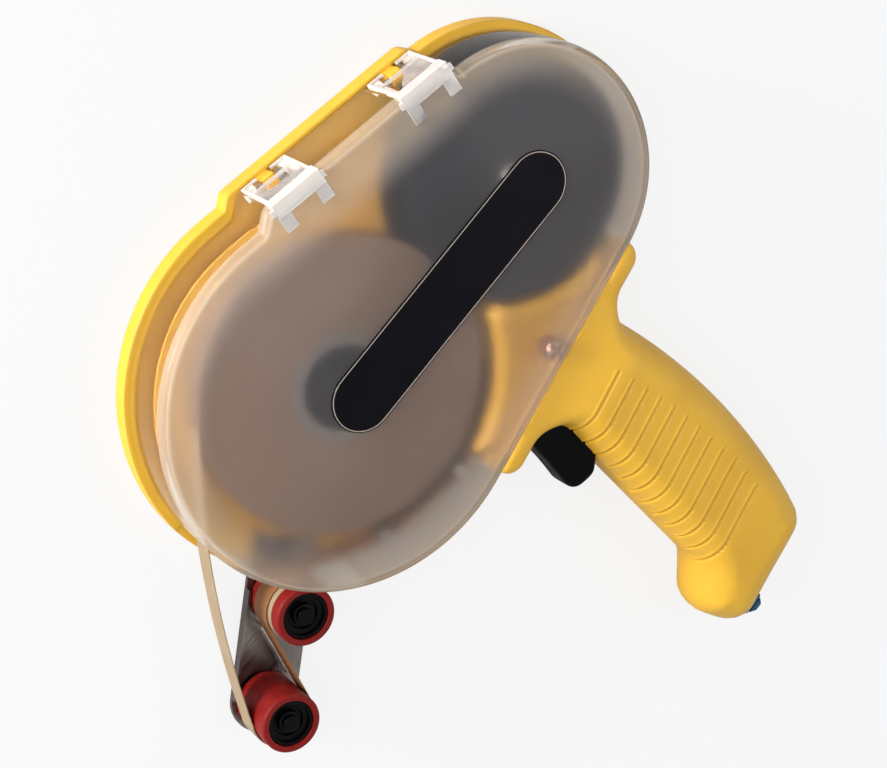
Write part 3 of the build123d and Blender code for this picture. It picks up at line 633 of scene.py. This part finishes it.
def gripLine():
    line = gripOutline
    p, q, r = [Vector(spot) for spot in line["palm"]]
    system = np.array([[2 * (q - p).x, 2 * (q - p).y], [2 * (r - p).x, 2 * (r - p).y]])
    middle = Vector(np.linalg.solve(system, [q.dot(q) - p.dot(p), r.dot(r) - p.dot(p)]))
    radius = (p - middle).length
    a = math.atan2(r.y - middle.y, r.x - middle.x)
    c = math.atan2(p.y - middle.y, p.x - middle.x)
    angles = [a + (c - a) * k / line["palmSteps"] for k in range(1, line["palmSteps"])]
    palm = [(middle + radius * Vector((math.cos(t), math.sin(t))), 0) for t in angles]
    palm = [p for p in palm if lowPlace(p[0])[1] > line["palmFrom"]]
    rootSide = [onLow(s, line["baseOut"]) for s in line["rootSide"]]
    fingerTop = crossing(*[Vector(spot) for spot in line["finger"]], *rootSide)
    palmTop = crossing(Vector(palm[-1][0]), Vector(palm[-2][0]), *rootSide)
    near, far = [[(onLow(s, line["baseIn"]), 0), (onLow(s, line["baseOut"]), line["baseR"])]
                 for s in line["base"]]
    return roundedPath([*near, (fingerTop, line["rootR"]), *line["heel"], *palm, (palmTop, line["rootR"]),
                        *far[::-1]])


def rowEnds(loop, y):
    crossings = [p[0] + (q[0] - p[0]) * (y - p[1]) / (q[1] - p[1])
                 for p, q in zip(loop, loop[1:] + loop[:1]) if (p[1] - y) * (q[1] - y) < 0]
    return min(crossings), max(crossings)


# A skin over an outline, with a wall; between the heights of fine its rows reach the outline
def skin(name, line, heights, spacing, wallFoot, rows=None, insets=(0.25, 0.9, 2.0, 3.4, 5.0, 7.0, 9.2),
         fine=(0, 0), fineSteps=()):
    clearOfLoops, sameDistance, clearOfRows, leastWall = 0.6, 0.04, 0.1, 0.05
    box = np.array([p[:2] for p in line])
    low, high = box.min(0), box.max(0)
    xs = np.arange(low[0], high[0], spacing)
    ys = np.array(rows) if rows is not None else np.arange(low[1], high[1], spacing)
    spots = np.array([(x, y) for y in ys for x in xs])
    outsideFine = (spots[:, 1] < fine[0]) | (spots[:, 1] > fine[1])
    spots = spots[(distanceTo(spots, line) > max(insets) + clearOfLoops) & outsideFine]
    loops = []
    for i in range(1, len(line) - 1):
        d = (Vector(line[i + 1][:2]) - Vector(line[i - 1][:2])).normalized()
        side, here = Vector((-d.y, d.x)), Vector(line[i][:2])
        loops += [here + side * k for k in insets] + [here - side * k for k in insets]
    loops = np.array([p[:] for p in loops])
    wanted = np.tile(np.array(insets * 2), len(line) - 2)
    outsideFine = (loops[:, 1] < fine[0] - clearOfRows) | (loops[:, 1] > fine[1] + clearOfRows)
    loops = loops[(np.abs(distanceTo(loops, line) - wanted) < sameDistance) & outsideFine]
    finePoints = []
    for y in [y for y in ys if fine[0] <= y <= fine[1]]:
        left, right = rowEnds(line, y)
        last = fineSteps[-1]
        count = int((right - left - 2 * last) / spacing)
        across = [last + (right - left - 2 * last) * k / count for k in range(1, count)]
        finePoints += [(left + d, y) for d in (*fineSteps, *across)] + [(right - d, y) for d in fineSteps]
    spots = np.vstack([box, loops, spots] + ([finePoints] if finePoints else []))
    made = delaunay_2d_cdt([Vector(p) for p in spots.tolist()], [], [list(range(len(box)))], 1, 1e-5)
    flat = np.array([p[:] for p in made[0]])
    bm = bmesh.new()
    verts = [bm.verts.new((p[0] * mm, p[1] * mm, z * mm)) for p, z in zip(flat, heights(flat))]
    for face in made[2]:
        bm.faces.new([verts[i] for i in face])
    bmesh.ops.delete(bm, geom=[v for v in bm.verts if not v.link_faces], context="VERTS")
    bm.normal_update()
    if sum(f.normal.z for f in bm.faces) < 0:
        bmesh.ops.reverse_faces(bm, faces=bm.faces)
    edges = [e for e in bm.edges if e.is_boundary]
    for v in bmesh.ops.extrude_edge_only(bm, edges=edges)["geom"]:
        if isinstance(v, bmesh.types.BMVert):
            v.co.z = min(v.co.z - leastWall * mm, wallFoot(v.co.x / mm, v.co.y / mm) * mm)
    mesh = bpy.data.meshes.new(name)
    bm.to_mesh(mesh)
    bm.free()
    mesh.shade_smooth()
    return addObject(name, mesh)


gripPath = gripLine()


def gripHeight(flat):
    n = np.array([lowPlace(p)[1] for p in flat])
    d = distanceTo(flat, gripPath)
    top = grip["baseTop"] + (grip["top"] - grip["baseTop"]) * smooth(n, *grip["topSpan"])
    onFinger = smooth(-flat[:, 0], *grip["fingerSpan"])
    full = grip["palmEdge"] + (grip["fingerEdge"] - grip["palmEdge"]) * onFinger
    edge = grip["baseEdge"] + (full - grip["baseEdge"]) * smooth(n, *grip["edgeSpan"])
    rise = edge + (top - grip["split"] - edge) * smooth(n, *grip["sideSpan"])
    reach = np.clip(1 - d / edge, 0, 1)
    return top - rise * (1 - np.sqrt(1 - reach ** 2))


def gripFoot(x, y):
    n = lowPlace((x, y))[1]
    if within(x, grip["slotX"]) and within(y, grip["slotY"]) and n > grip["slotOut"]:
        return grip["slotTop"]
    return grip["seam"] if n < grip["seamOut"] else grip["split"]


ribSpan = (rib["first"] - rib["pitch"] * rib["count"] - rib["below"], rib["first"] + rib["above"])
ribRows = []
y = rib["rows"][0]
while y < rib["rows"][1]:
    ribRows.append(y)
    y += rib["fineRow"] if within(y, ribSpan) else rib["row"]
gripSkin = skin("gripShell", gripPath, gripHeight, grip["spacing"], gripFoot, ribRows, fine=ribSpan,
                fineSteps=rib["fineSteps"])


# A modifier's tree: named inputs, realised and painted at its end
def geoTree(name, inputs):
    group = bpy.data.node_groups.new(name, "GeometryNodeTree")
    group.is_modifier = True
    group.interface.new_socket("Geometry", in_out="INPUT", socket_type="NodeSocketGeometry")
    ids = {}
    for key, value in inputs.items():
        kind = "NodeSocketInt" if isinstance(value, int) else "NodeSocketFloat"
        item = group.interface.new_socket(key, in_out="INPUT", socket_type=kind)
        item.default_value = value
        ids[key] = item.identifier
    group.interface.new_socket("Geometry", in_out="OUTPUT", socket_type="NodeSocketGeometry")
    source = group.nodes.new("NodeGroupInput")
    tree = Tree(group)
    return tree, {s.name: Val(tree, s) for s in source.outputs if s.name}, ids


def closeTree(tree, geometry, material):
    real = tree.node("GeometryNodeRealizeInstances", None, {0: geometry})
    done = tree.node("GeometryNodeSetMaterial", None, {"Geometry": real, "Material": material})
    output = tree.tree.nodes.new("NodeGroupOutput")
    tree.tree.links.new(done.socket, output.inputs[0])


def applyTree(obj, tree, ids, values):
    modifier = obj.modifiers.new("made", "NODES")
    modifier.node_group = tree.tree
    for key, value in values.items():
        modifier[ids[key]] = value
    return settle(obj)


# Ribs lean across the grip and end on a curve at the palm; a low crest lies beside each
def ribTree(material):
    sizes = {"First rib": 0.0, "Pitch": 0.0063, "Ribs": 12, "Depth": 0.0005, "Width": 0.0006,
             "Palm end": 0.0640, "Lean": 0.2, "Widest rib": 0.67, "Palm curve": 0.000086,
             "Crest": 0.3, "Crest place": 1.6, "Fade before": 0.0008, "Fade after": 0.0003,
             "Side foot": 0.0190, "Side top": 0.0215}
    tree, given, ids = geoTree("gripRibs", sizes)
    place = tree.node("GeometryNodeInputPosition")
    x, y, z = [tree.part(place, i) for i in range(3)]
    steps = (given["First rib"] + (x - given["Palm end"]) * given["Lean"] - y) / given["Pitch"]
    nearest = steps.math("ROUND")
    inside = nearest.math("GREATER_THAN", -0.5) * nearest.math("LESS_THAN", given["Ribs"] - 0.5)
    gap = (steps - nearest) * given["Pitch"]
    groove = (gap.math("ABSOLUTE") / given["Width"]).ramp(0.1, 1.0, 1.0, 0.0)
    lift = (gap / given["Width"] + given["Crest place"]).math("ABSOLUTE").ramp(0.1, 1.0, given["Crest"], 0.0)
    fromWidest = nearest - given["Ribs"] * given["Widest rib"]
    palmEnd = given["Palm end"] - fromWidest * fromWidest * given["Palm curve"]
    fade = x.ramp(palmEnd - given["Fade before"], palmEnd + given["Fade after"], 1.0, 0.0)
    fade = fade * z.ramp(given["Side foot"], given["Side top"])
    shift = (lift - groove) * given["Depth"] * inside * fade
    normal = tree.node("GeometryNodeInputNormal")
    offset = tree.node("ShaderNodeVectorMath", {"operation": "SCALE"}, {0: normal, "Scale": shift})
    moved = tree.node("GeometryNodeSetPosition", None, {"Geometry": given["Geometry"], "Offset": offset})
    closeTree(tree, moved, material)
    return tree, ids


ribs, ribIds = ribTree(gripYellow)
applyTree(gripSkin, ribs, ribIds, {"First rib": rib["first"] * mm, "Pitch": rib["pitch"] * mm,
                                   "Ribs": rib["count"], "Depth": rib["depth"] * mm,
                                   "Width": rib["width"] * mm, "Lean": rib["lean"],
                                   "Palm end": rib["palmEnd"] * mm})
paint(thicken(gripSkin, grip["wall"]), gripYellow)

# The rear half's rounded side: a band over the housing's own, made upwards and mirrored
rear = {"edge": 9.5, "low": 0.6, "wall": 0.8, "beyondEdge": 0.8, "besideHousing": 8.15, "spacing": 1.3,
        "rootLift": 1.8, "rootSpan": (-15, -8.5), "rimSpan": (0.0, 0.2)}


def rearHeight(flat):
    n = np.array([lowPlace(p)[1] for p in flat])
    d = np.clip(distanceTo(flat, gripPath) / rear["edge"], 0, 1)
    drop = (grip["split"] - rear["low"]) * np.sqrt(1 - (1 - d) ** 2)
    lift = rear["rootLift"] * smooth(-n, *rear["rootSpan"]) * smooth(d, *rear["rimSpan"])
    return grip["split"] + drop - lift


def keepBand(bm):
    places = [(v.co.x / mm, v.co.y / mm) for v in bm.verts]
    away = distanceTo(np.array(places), gripPath)
    surplus = [v for v, p, d in zip(bm.verts, places, away)
               if d > rear["edge"] + rear["beyondEdge"] or lowPlace(p)[1] < rear["besideHousing"]]
    bmesh.ops.delete(bm, geom=surplus, context="VERTS")
    for v in bm.verts:
        v.co.z = 2 * grip["split"] * mm - v.co.z
    bmesh.ops.reverse_faces(bm, faces=bm.faces)


rearSkin = skin("gripRear", gripPath, rearHeight, rear["spacing"], lambda x, y: grip["split"])
paint(thicken(reshape(rearSkin, keepBand), rear["wall"]), yellow)

# The shell's tongue under the cover, cut round the roll and the spool
tongue = {"top": 24.0, "edge": 3.0, "foot": 19.0, "wall": 2.0, "spacing": 2.0, "insets": (0.2, 0.7, 1.5, 2.5),
          "rollR": 50.0, "spoolR": 39.0, "rollFrom": -77.0, "spoolTo": 276, "steps": 24,
          "ends": ((8, 0.5), (8, -2.0), (74, -2.0), (74, 0.5))}


def tonguePath():
    gap, steps, start = housing["spindleGap"], tongue["steps"], tongue["rollFrom"]
    x = (gap ** 2 + tongue["rollR"] ** 2 - tongue["spoolR"] ** 2) / (2 * gap)
    apex = Vector((x, -math.sqrt(tongue["rollR"] ** 2 - x ** 2)))
    turn = math.degrees(math.atan2(apex.y, apex.x)) - start
    ends = [onLow(*p) for p in tongue["ends"]]
    roll = arc((0, 0), tongue["rollR"], start, turn, steps)[:-2]
    start = math.degrees(math.atan2(apex.y, apex.x - gap)) % 360
    spool = arc((gap, 0), tongue["spoolR"], start, tongue["spoolTo"] - start, steps)[2:]
    return ends[:2] + roll + spool + ends[2:]


tongueLine = tonguePath()


def tongueHeight(flat):
    reach = np.clip(tongue["edge"] - distanceTo(flat, tongueLine), 0, None)
    return tongue["top"] - (tongue["edge"] - np.sqrt(np.maximum(tongue["edge"] ** 2 - reach ** 2, 0)))


tongueSkin = skin("coverTongue", tongueLine, tongueHeight, tongue["spacing"], lambda x, y: tongue["foot"],
                  insets=tongue["insets"])
paint(thicken(tongueSkin, tongue["wall"]), yellow)
for piece in (gripSkin, tongueSkin, rearSkin):
    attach(piece, "frame")
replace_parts(gripSkin, "front_handle_shell")
print("handle made")

# Trigger: the solid trigger's own form with its edges worn round
wear = {"voxel": 0.45, "share": 0.5, "rounds": 48}
worn = nodes["trigger"].data.copy()
worn.transform(nodes["trigger"].matrix_world)
softTrigger = addObject("softTrigger", worn)
skinned = softTrigger.modifiers.new("skin", "REMESH")
skinned.mode, skinned.voxel_size = "VOXEL", wear["voxel"] * mm
relaxed = softTrigger.modifiers.new("relax", "SMOOTH")
relaxed.factor, relaxed.iterations = wear["share"], wear["rounds"]
settle(softTrigger).data.shade_smooth()
paint(softTrigger, black)
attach(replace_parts(softTrigger, "trigger"), "trigger")
print("trigger made")

# Label plate: bare and black, seated slightly in the cover, with a thin pale line
plate = {"radius": 10.0, "low": 30.85, "high": 31.4, "edge": 0.12,
         "lineIn": 0.35, "lineWide": 0.32, "lineSink": 0.05, "lineProud": 0.03}


def stadium(grow, steps=40):
    radius = plate["radius"] + grow
    return arc((housing["spindleGap"], 0), radius, -90, 180, steps) + arc((0, 0), radius, 90, 180, steps)


# Loops of points at given heights, joined into a solid or, without flat ends, a ring
def stack(name, loops, flatEnds=True):
    verts, faces = [], []
    count = len(loops[0][0])
    for points, z in loops:
        verts += [(p[0], p[1], z) for p in points]
    for level in range(len(loops) - 1 if flatEnds else len(loops)):
        up = (level + 1) % len(loops)
        for i in range(count):
            k = (i + 1) % count
            faces.append((level * count + i, level * count + k, up * count + k, up * count + i))
    if flatEnds:
        faces.append(tuple(range(count))[::-1])
        faces.append(tuple((len(loops) - 1) * count + i for i in range(count)))
    return sharpen(meshObject(name, verts, faces), 40)


low, high, edge = plate["low"], plate["high"], plate["edge"]
labelPlate = stack("labelPlate", [(stadium(0), low), (stadium(0), high - edge), (stadium(-edge), high)])
paint(labelPlate, plateBlack)
inner, outer = stadium(-plate["lineIn"] - plate["lineWide"]), stadium(-plate["lineIn"])
low, high = high - plate["lineSink"], high + plate["lineProud"]
labelLine = stack("labelLine", [(outer, low), (outer, high), (inner, high), (inner, low)], False)
paint(labelLine, paleLine)
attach(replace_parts(labelPlate, "label_plate"), "cover")
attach(labelLine, "cover")
print("label made")

# Wide lower flange of the take-up spool; a profile is radii and heights
flange = {"steps": 128, "profile": ((6.4, 7.85), (39.4, 7.85), (39.6, 8.05), (39.6, 8.35), (38.4, 8.35),
                                    (38.1, 8.2), (6.4, 8.2))}
lowerFlange = lathe("lowerFlange", (housing["spindleGap"], 0), flange["profile"], flange["steps"])
paint(lowerFlange, navy)
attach(lowerFlange, "takeup")
print("flange made")

# Roller hubs: recessed behind, and stepped in front round a small boss
hub = {"places": {"lower": (-86.6, -55.8), "upper": (-58.9, -36.0)},
       "profile": ((1.65, 4.6), (3.4, 4.6), (3.4, 7.2), (5.8, 7.2), (5.8, 4.6), (7.4, 4.6), (7.4, 23.1),
                   (7.1, 23.4), (6.3, 23.4), (6.1, 21.9), (4.7, 21.7), (4.5, 20.8), (3.6, 20.8), (3.4, 22.5),
                   (2.9, 22.7), (1.65, 22.7))}
for name, spot in hub["places"].items():
    turned = lathe(name + "RollerHub", spot, hub["profile"])
    paint(turned, hubBlack)
    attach(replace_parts(turned, name + "_roller_hub"), name + "_roller")
print("rollers made")

# Hinge clips: knuckles, a framed window, a block and two prongs on the cover.
# A bar's six numbers are its ends along the hinge side, out from it, and up from the ground.
clip = {"axisN": 2.3, "axisZ": 11.6, "knuckleR": 2.3, "knuckleLong": 3.2, "pinR": 1.05, "pinSpare": 1,
        "soft": 0.2, "paneSoft": 0.05,
        "block": (-0.6, 16.6, 3.2, 5.2, 27.2, 32.1), "shelf": (-0.6, 16.6, 0.4, 5.0, 31.0, 32.1),
        "web": (1.0, 2.2, 3.0, 4.4, 11.6, 27.7), "post": (-0.2, 0.8, 3.4, 5.1, 9.6, 27.7),
        "sill": (0, 5.4, 4.3, 5.1, 9.6, 10.4), "prong": (-0.6, 3.4, -4.4, 1.0, 31.0, 32.0),
        "nib": (-1.7, 0, 1.8, 3.9, 30.8, 31.85), "crossbar": (0, 16, 4.2, 5.1, 16.6, 17.2),
        "pane": (0.7, 15.3, 4.5, 4.8, 14.4, 27.4), "leg": (0.7, 5.4, 4.5, 4.8, 10.2, 15.0)}


def bar(s0, s1, n0, n1, z0, z1):
    corners = [onTop(*p) for p in ((s0, n0), (s1, n0), (s1, n1), (s0, n1))]
    verts = [(c[0], c[1], z) for z in (z0, z1) for c in corners]
    faces = [(0, 1, 2, 3), (4, 7, 6, 5), (0, 4, 5, 1), (1, 5, 6, 2), (2, 6, 7, 3), (3, 7, 4, 0)]
    return meshObject("bar", verts, faces, False)


def rod(radius, s0, s1, sides=48):
    verts = []
    for s in (s0, s1):
        for k in range(sides):
            a = 2 * math.pi * k / sides
            p = onTop(s, clip["axisN"] + radius * math.cos(a))
            verts.append((p[0], p[1], clip["axisZ"] + radius * math.sin(a)))
    faces = [(k, (k + 1) % sides, sides + (k + 1) % sides, sides + k) for k in range(sides)]
    faces += [tuple(range(sides))[::-1], tuple(range(sides, 2 * sides))]
    return meshObject("rod", verts, faces, False)


def combine(base, others, operation="UNION"):
    for other in others:
        step = outward(base).modifiers.new("step", "BOOLEAN")
        step.operation, step.object, step.solver = operation, outward(other), "EXACT"
        settle(base)
        bpy.data.objects.remove(other)
    return base


def soften(obj, width):
    bevel = obj.modifiers.new("soft", "BEVEL")
    bevel.width, bevel.segments, bevel.angle_limit = width * mm, 2, math.radians(35)
    settle(obj)
    obj.data.shade_smooth()
    return sharpen(obj, 50)


# A clip's bar, alone or with its twin at the clip's other end
def single(start, key):
    s0, s1, *rest = clip[key]
    return bar(start + s0, start + s1, *rest)


def twin(start, key):
    s0, s1, *rest = clip[key]
    end = start + housing["clipWidth"]
    return [single(start, key), bar(end - s1, end - s0, *rest)]


def hingeClip(name, start):
    end, size = start + housing["clipWidth"], clip["knuckleLong"]
    knuckles = rod(clip["knuckleR"], start, start + size), rod(clip["knuckleR"], end - size, end)
    body, parts = single(start, "block"), [single(start, "shelf")]
    for knuckle, web in zip(knuckles, twin(start, "web")):
        parts += [knuckle, web]
    for key in ("post", "sill", "prong", "nib"):
        parts += twin(start, key)
    combine(body, parts + [single(start, "crossbar")])
    combine(body, [rod(clip["pinR"], start - clip["pinSpare"], end + clip["pinSpare"])], "DIFFERENCE")
    body.name = name
    return soften(body, clip["soft"])


# The window's pane, with a leg on each side of the hinge pin's ear
def clipPane(name, start):
    pane = combine(single(start, "pane"), twin(start, "leg"))
    pane.name = name
    return soften(pane, clip["paneSoft"])


for tail, start in zip(("nose", "tail"), housing["clipStarts"]):
    body = hingeClip(tail + "HingeClip", start)
    pane = clipPane(tail + "ClipPane", start)
    paint(body, milky)
    paint(pane, paneClear)
    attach(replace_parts(body, "hinge_clip_" + tail), "cover")
    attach(pane, "cover")
print("clips made")


# Cross-recess screw heads, set on the points of a small mesh by a node tree
def screwTree(material):
    sizes = {"Head": 0.0033, "Height": 0.0042, "Arm": 0.0052, "Slot": 0.0014, "Depth": 0.0014,
             "Crown": 0.72, "Crown share": 0.3, "Crown place": 0.64, "Recess place": 0.95}
    tree, given, ids = geoTree("screwHeads", sizes)

    def lifted(shape, share):
        up = tree.vector({2: given["Height"] * share})
        return tree.node("GeometryNodeTransform", None, {"Geometry": shape, "Translation": up})

    low = tree.node("GeometryNodeMeshCylinder", None,
                    {"Vertices": 48, "Radius": given["Head"], "Depth": given["Height"]})
    high = tree.node("GeometryNodeMeshCone", None,
                     {"Vertices": 48, "Radius Top": given["Head"] * given["Crown"],
                      "Radius Bottom": given["Head"], "Depth": given["Height"] * given["Crown share"]})
    head = tree.node("GeometryNodeMeshBoolean", {"operation": "UNION"}, {1: low})
    tree.tree.links.new(lifted(high, given["Crown place"]).socket, head.socket.node.inputs[1])
    for along, across in ((given["Arm"], given["Slot"]), (given["Slot"], given["Arm"])):
        size = tree.vector({0: along, 1: across, 2: given["Depth"] * 2})
        arm = lifted(tree.node("GeometryNodeMeshCube", None, {"Size": size}), given["Recess place"])
        head = tree.node("GeometryNodeMeshBoolean", {"operation": "DIFFERENCE"}, {0: head, 1: arm})
    spots = tree.node("GeometryNodeMeshToPoints", None, {"Mesh": given["Geometry"]})
    placed = tree.node("GeometryNodeInstanceOnPoints", None, {"Points": spots, "Instance": head})
    closeTree(tree, placed, material)
    return tree, ids


screw = {"at": (49.7, -42.7, 25.9)}
headTree, headIds = screwTree(platedScrew)
tongueScrew = meshObject("tongueScrewHead", [screw["at"]], [], False)
applyTree(tongueScrew, headTree, headIds, {})
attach(sharpen(tongueScrew), "frame")
print("screws made")

# Floor, light and camera; the floor and the world light the part less than they look
studio = {"floorSize": 6, "floorDown": 0.0002, "floorGrey": (0.8, 0.8, 0.8), "floorShare": 0.82,
          "sky": 0.42, "aim": (0.01, -0.05, 0.015),
          "lamps": {"keyLight": {"at": (-0.30, 0.70, 0.90), "size": 0.7, "watts": 4.6},
                    "rimLight": {"at": (-0.45, 0.85, 0.10), "size": 0.35, "watts": 15.0},
                    "fillLight": {"at": (0.55, -0.35, 0.75), "size": 0.7, "watts": 1.2}}}
photoView = {"at": (-0.0506, 0.3605, 0.6370), "lens": 99.5, "filmWidth": 36.0, "clip": (0.01, 20),
             "right": (0.62298, -0.62918, 0.46478), "down": (-0.77618, -0.57099, 0.26742),
             "ahead": (0.09714, -0.52735, -0.84408)}


def benchTop():
    f = Finish("benchTop")
    seen = f.node("ShaderNodeLightPath", None, None, "Is Camera Ray")
    plain = f.surface({"Base Color": studio["floorGrey"], "Roughness": 0.9})
    bright = f.node("ShaderNodeEmission", None, {"Color": (1, 1, 1), "Strength": 1.0})
    return f.end(f.blend(seen * studio["floorShare"], plain, bright))


bpy.ops.mesh.primitive_grid_add(x_subdivisions=8, y_subdivisions=8, size=studio["floorSize"])
floor = bpy.context.object
floor.name = "benchTop"
floor.location.z = -studio["floorDown"]
paint(floor, benchTop())

# White to the eye, in mirrors and through glass, but not after a dull bounce
world = bpy.data.worlds.new("studio")
bpy.context.scene.world = world
world.use_nodes = True
sky = Tree(world.node_tree)
sky.tree.nodes.clear()
ray = sky.tree.nodes.new("ShaderNodeLightPath")
seen = Val(sky, ray.outputs["Is Camera Ray"])
for kind in ("Is Glossy Ray", "Is Transmission Ray"):
    seen = seen.math("MAXIMUM", Val(sky, ray.outputs[kind]))
seen = seen * (1 - Val(sky, ray.outputs["Diffuse Depth"]).math("MINIMUM", 1.0))
soft = sky.node("ShaderNodeBackground", None, {"Color": (1, 1, 1), "Strength": studio["sky"]})
white = sky.node("ShaderNodeBackground", None, {"Color": (1, 1, 1), "Strength": 1.0})
skyOut = sky.tree.nodes.new("ShaderNodeOutputWorld")
sky.tree.links.new(sky.blend(seen, soft, white).socket, skyOut.inputs["Surface"])

for name, lamp in studio["lamps"].items():
    data = bpy.data.lights.new(name, "AREA")
    data.energy, data.size = lamp["watts"], lamp["size"]
    light = addObject(name, data)
    light.location = lamp["at"]
    light.rotation_euler = (Vector(studio["aim"]) - light.location).to_track_quat("-Z", "Y").to_euler()

data = bpy.data.cameras.new("photoView")
data.lens, data.sensor_width, data.sensor_fit = photoView["lens"], photoView["filmWidth"], "HORIZONTAL"
data.clip_start, data.clip_end = photoView["clip"]
camera = addObject("photoView", data)
axes = [Vector(photoView["right"]), -Vector(photoView["down"]), -Vector(photoView["ahead"])]
turn = Matrix([[a[i] for a in axes] for i in range(3)]).to_4x4()
camera.matrix_world = Matrix.Translation(photoView["at"]) @ turn
bpy.context.scene.camera = camera
bpy.context.scene.view_settings.view_transform = "Standard"
print("studio ready")
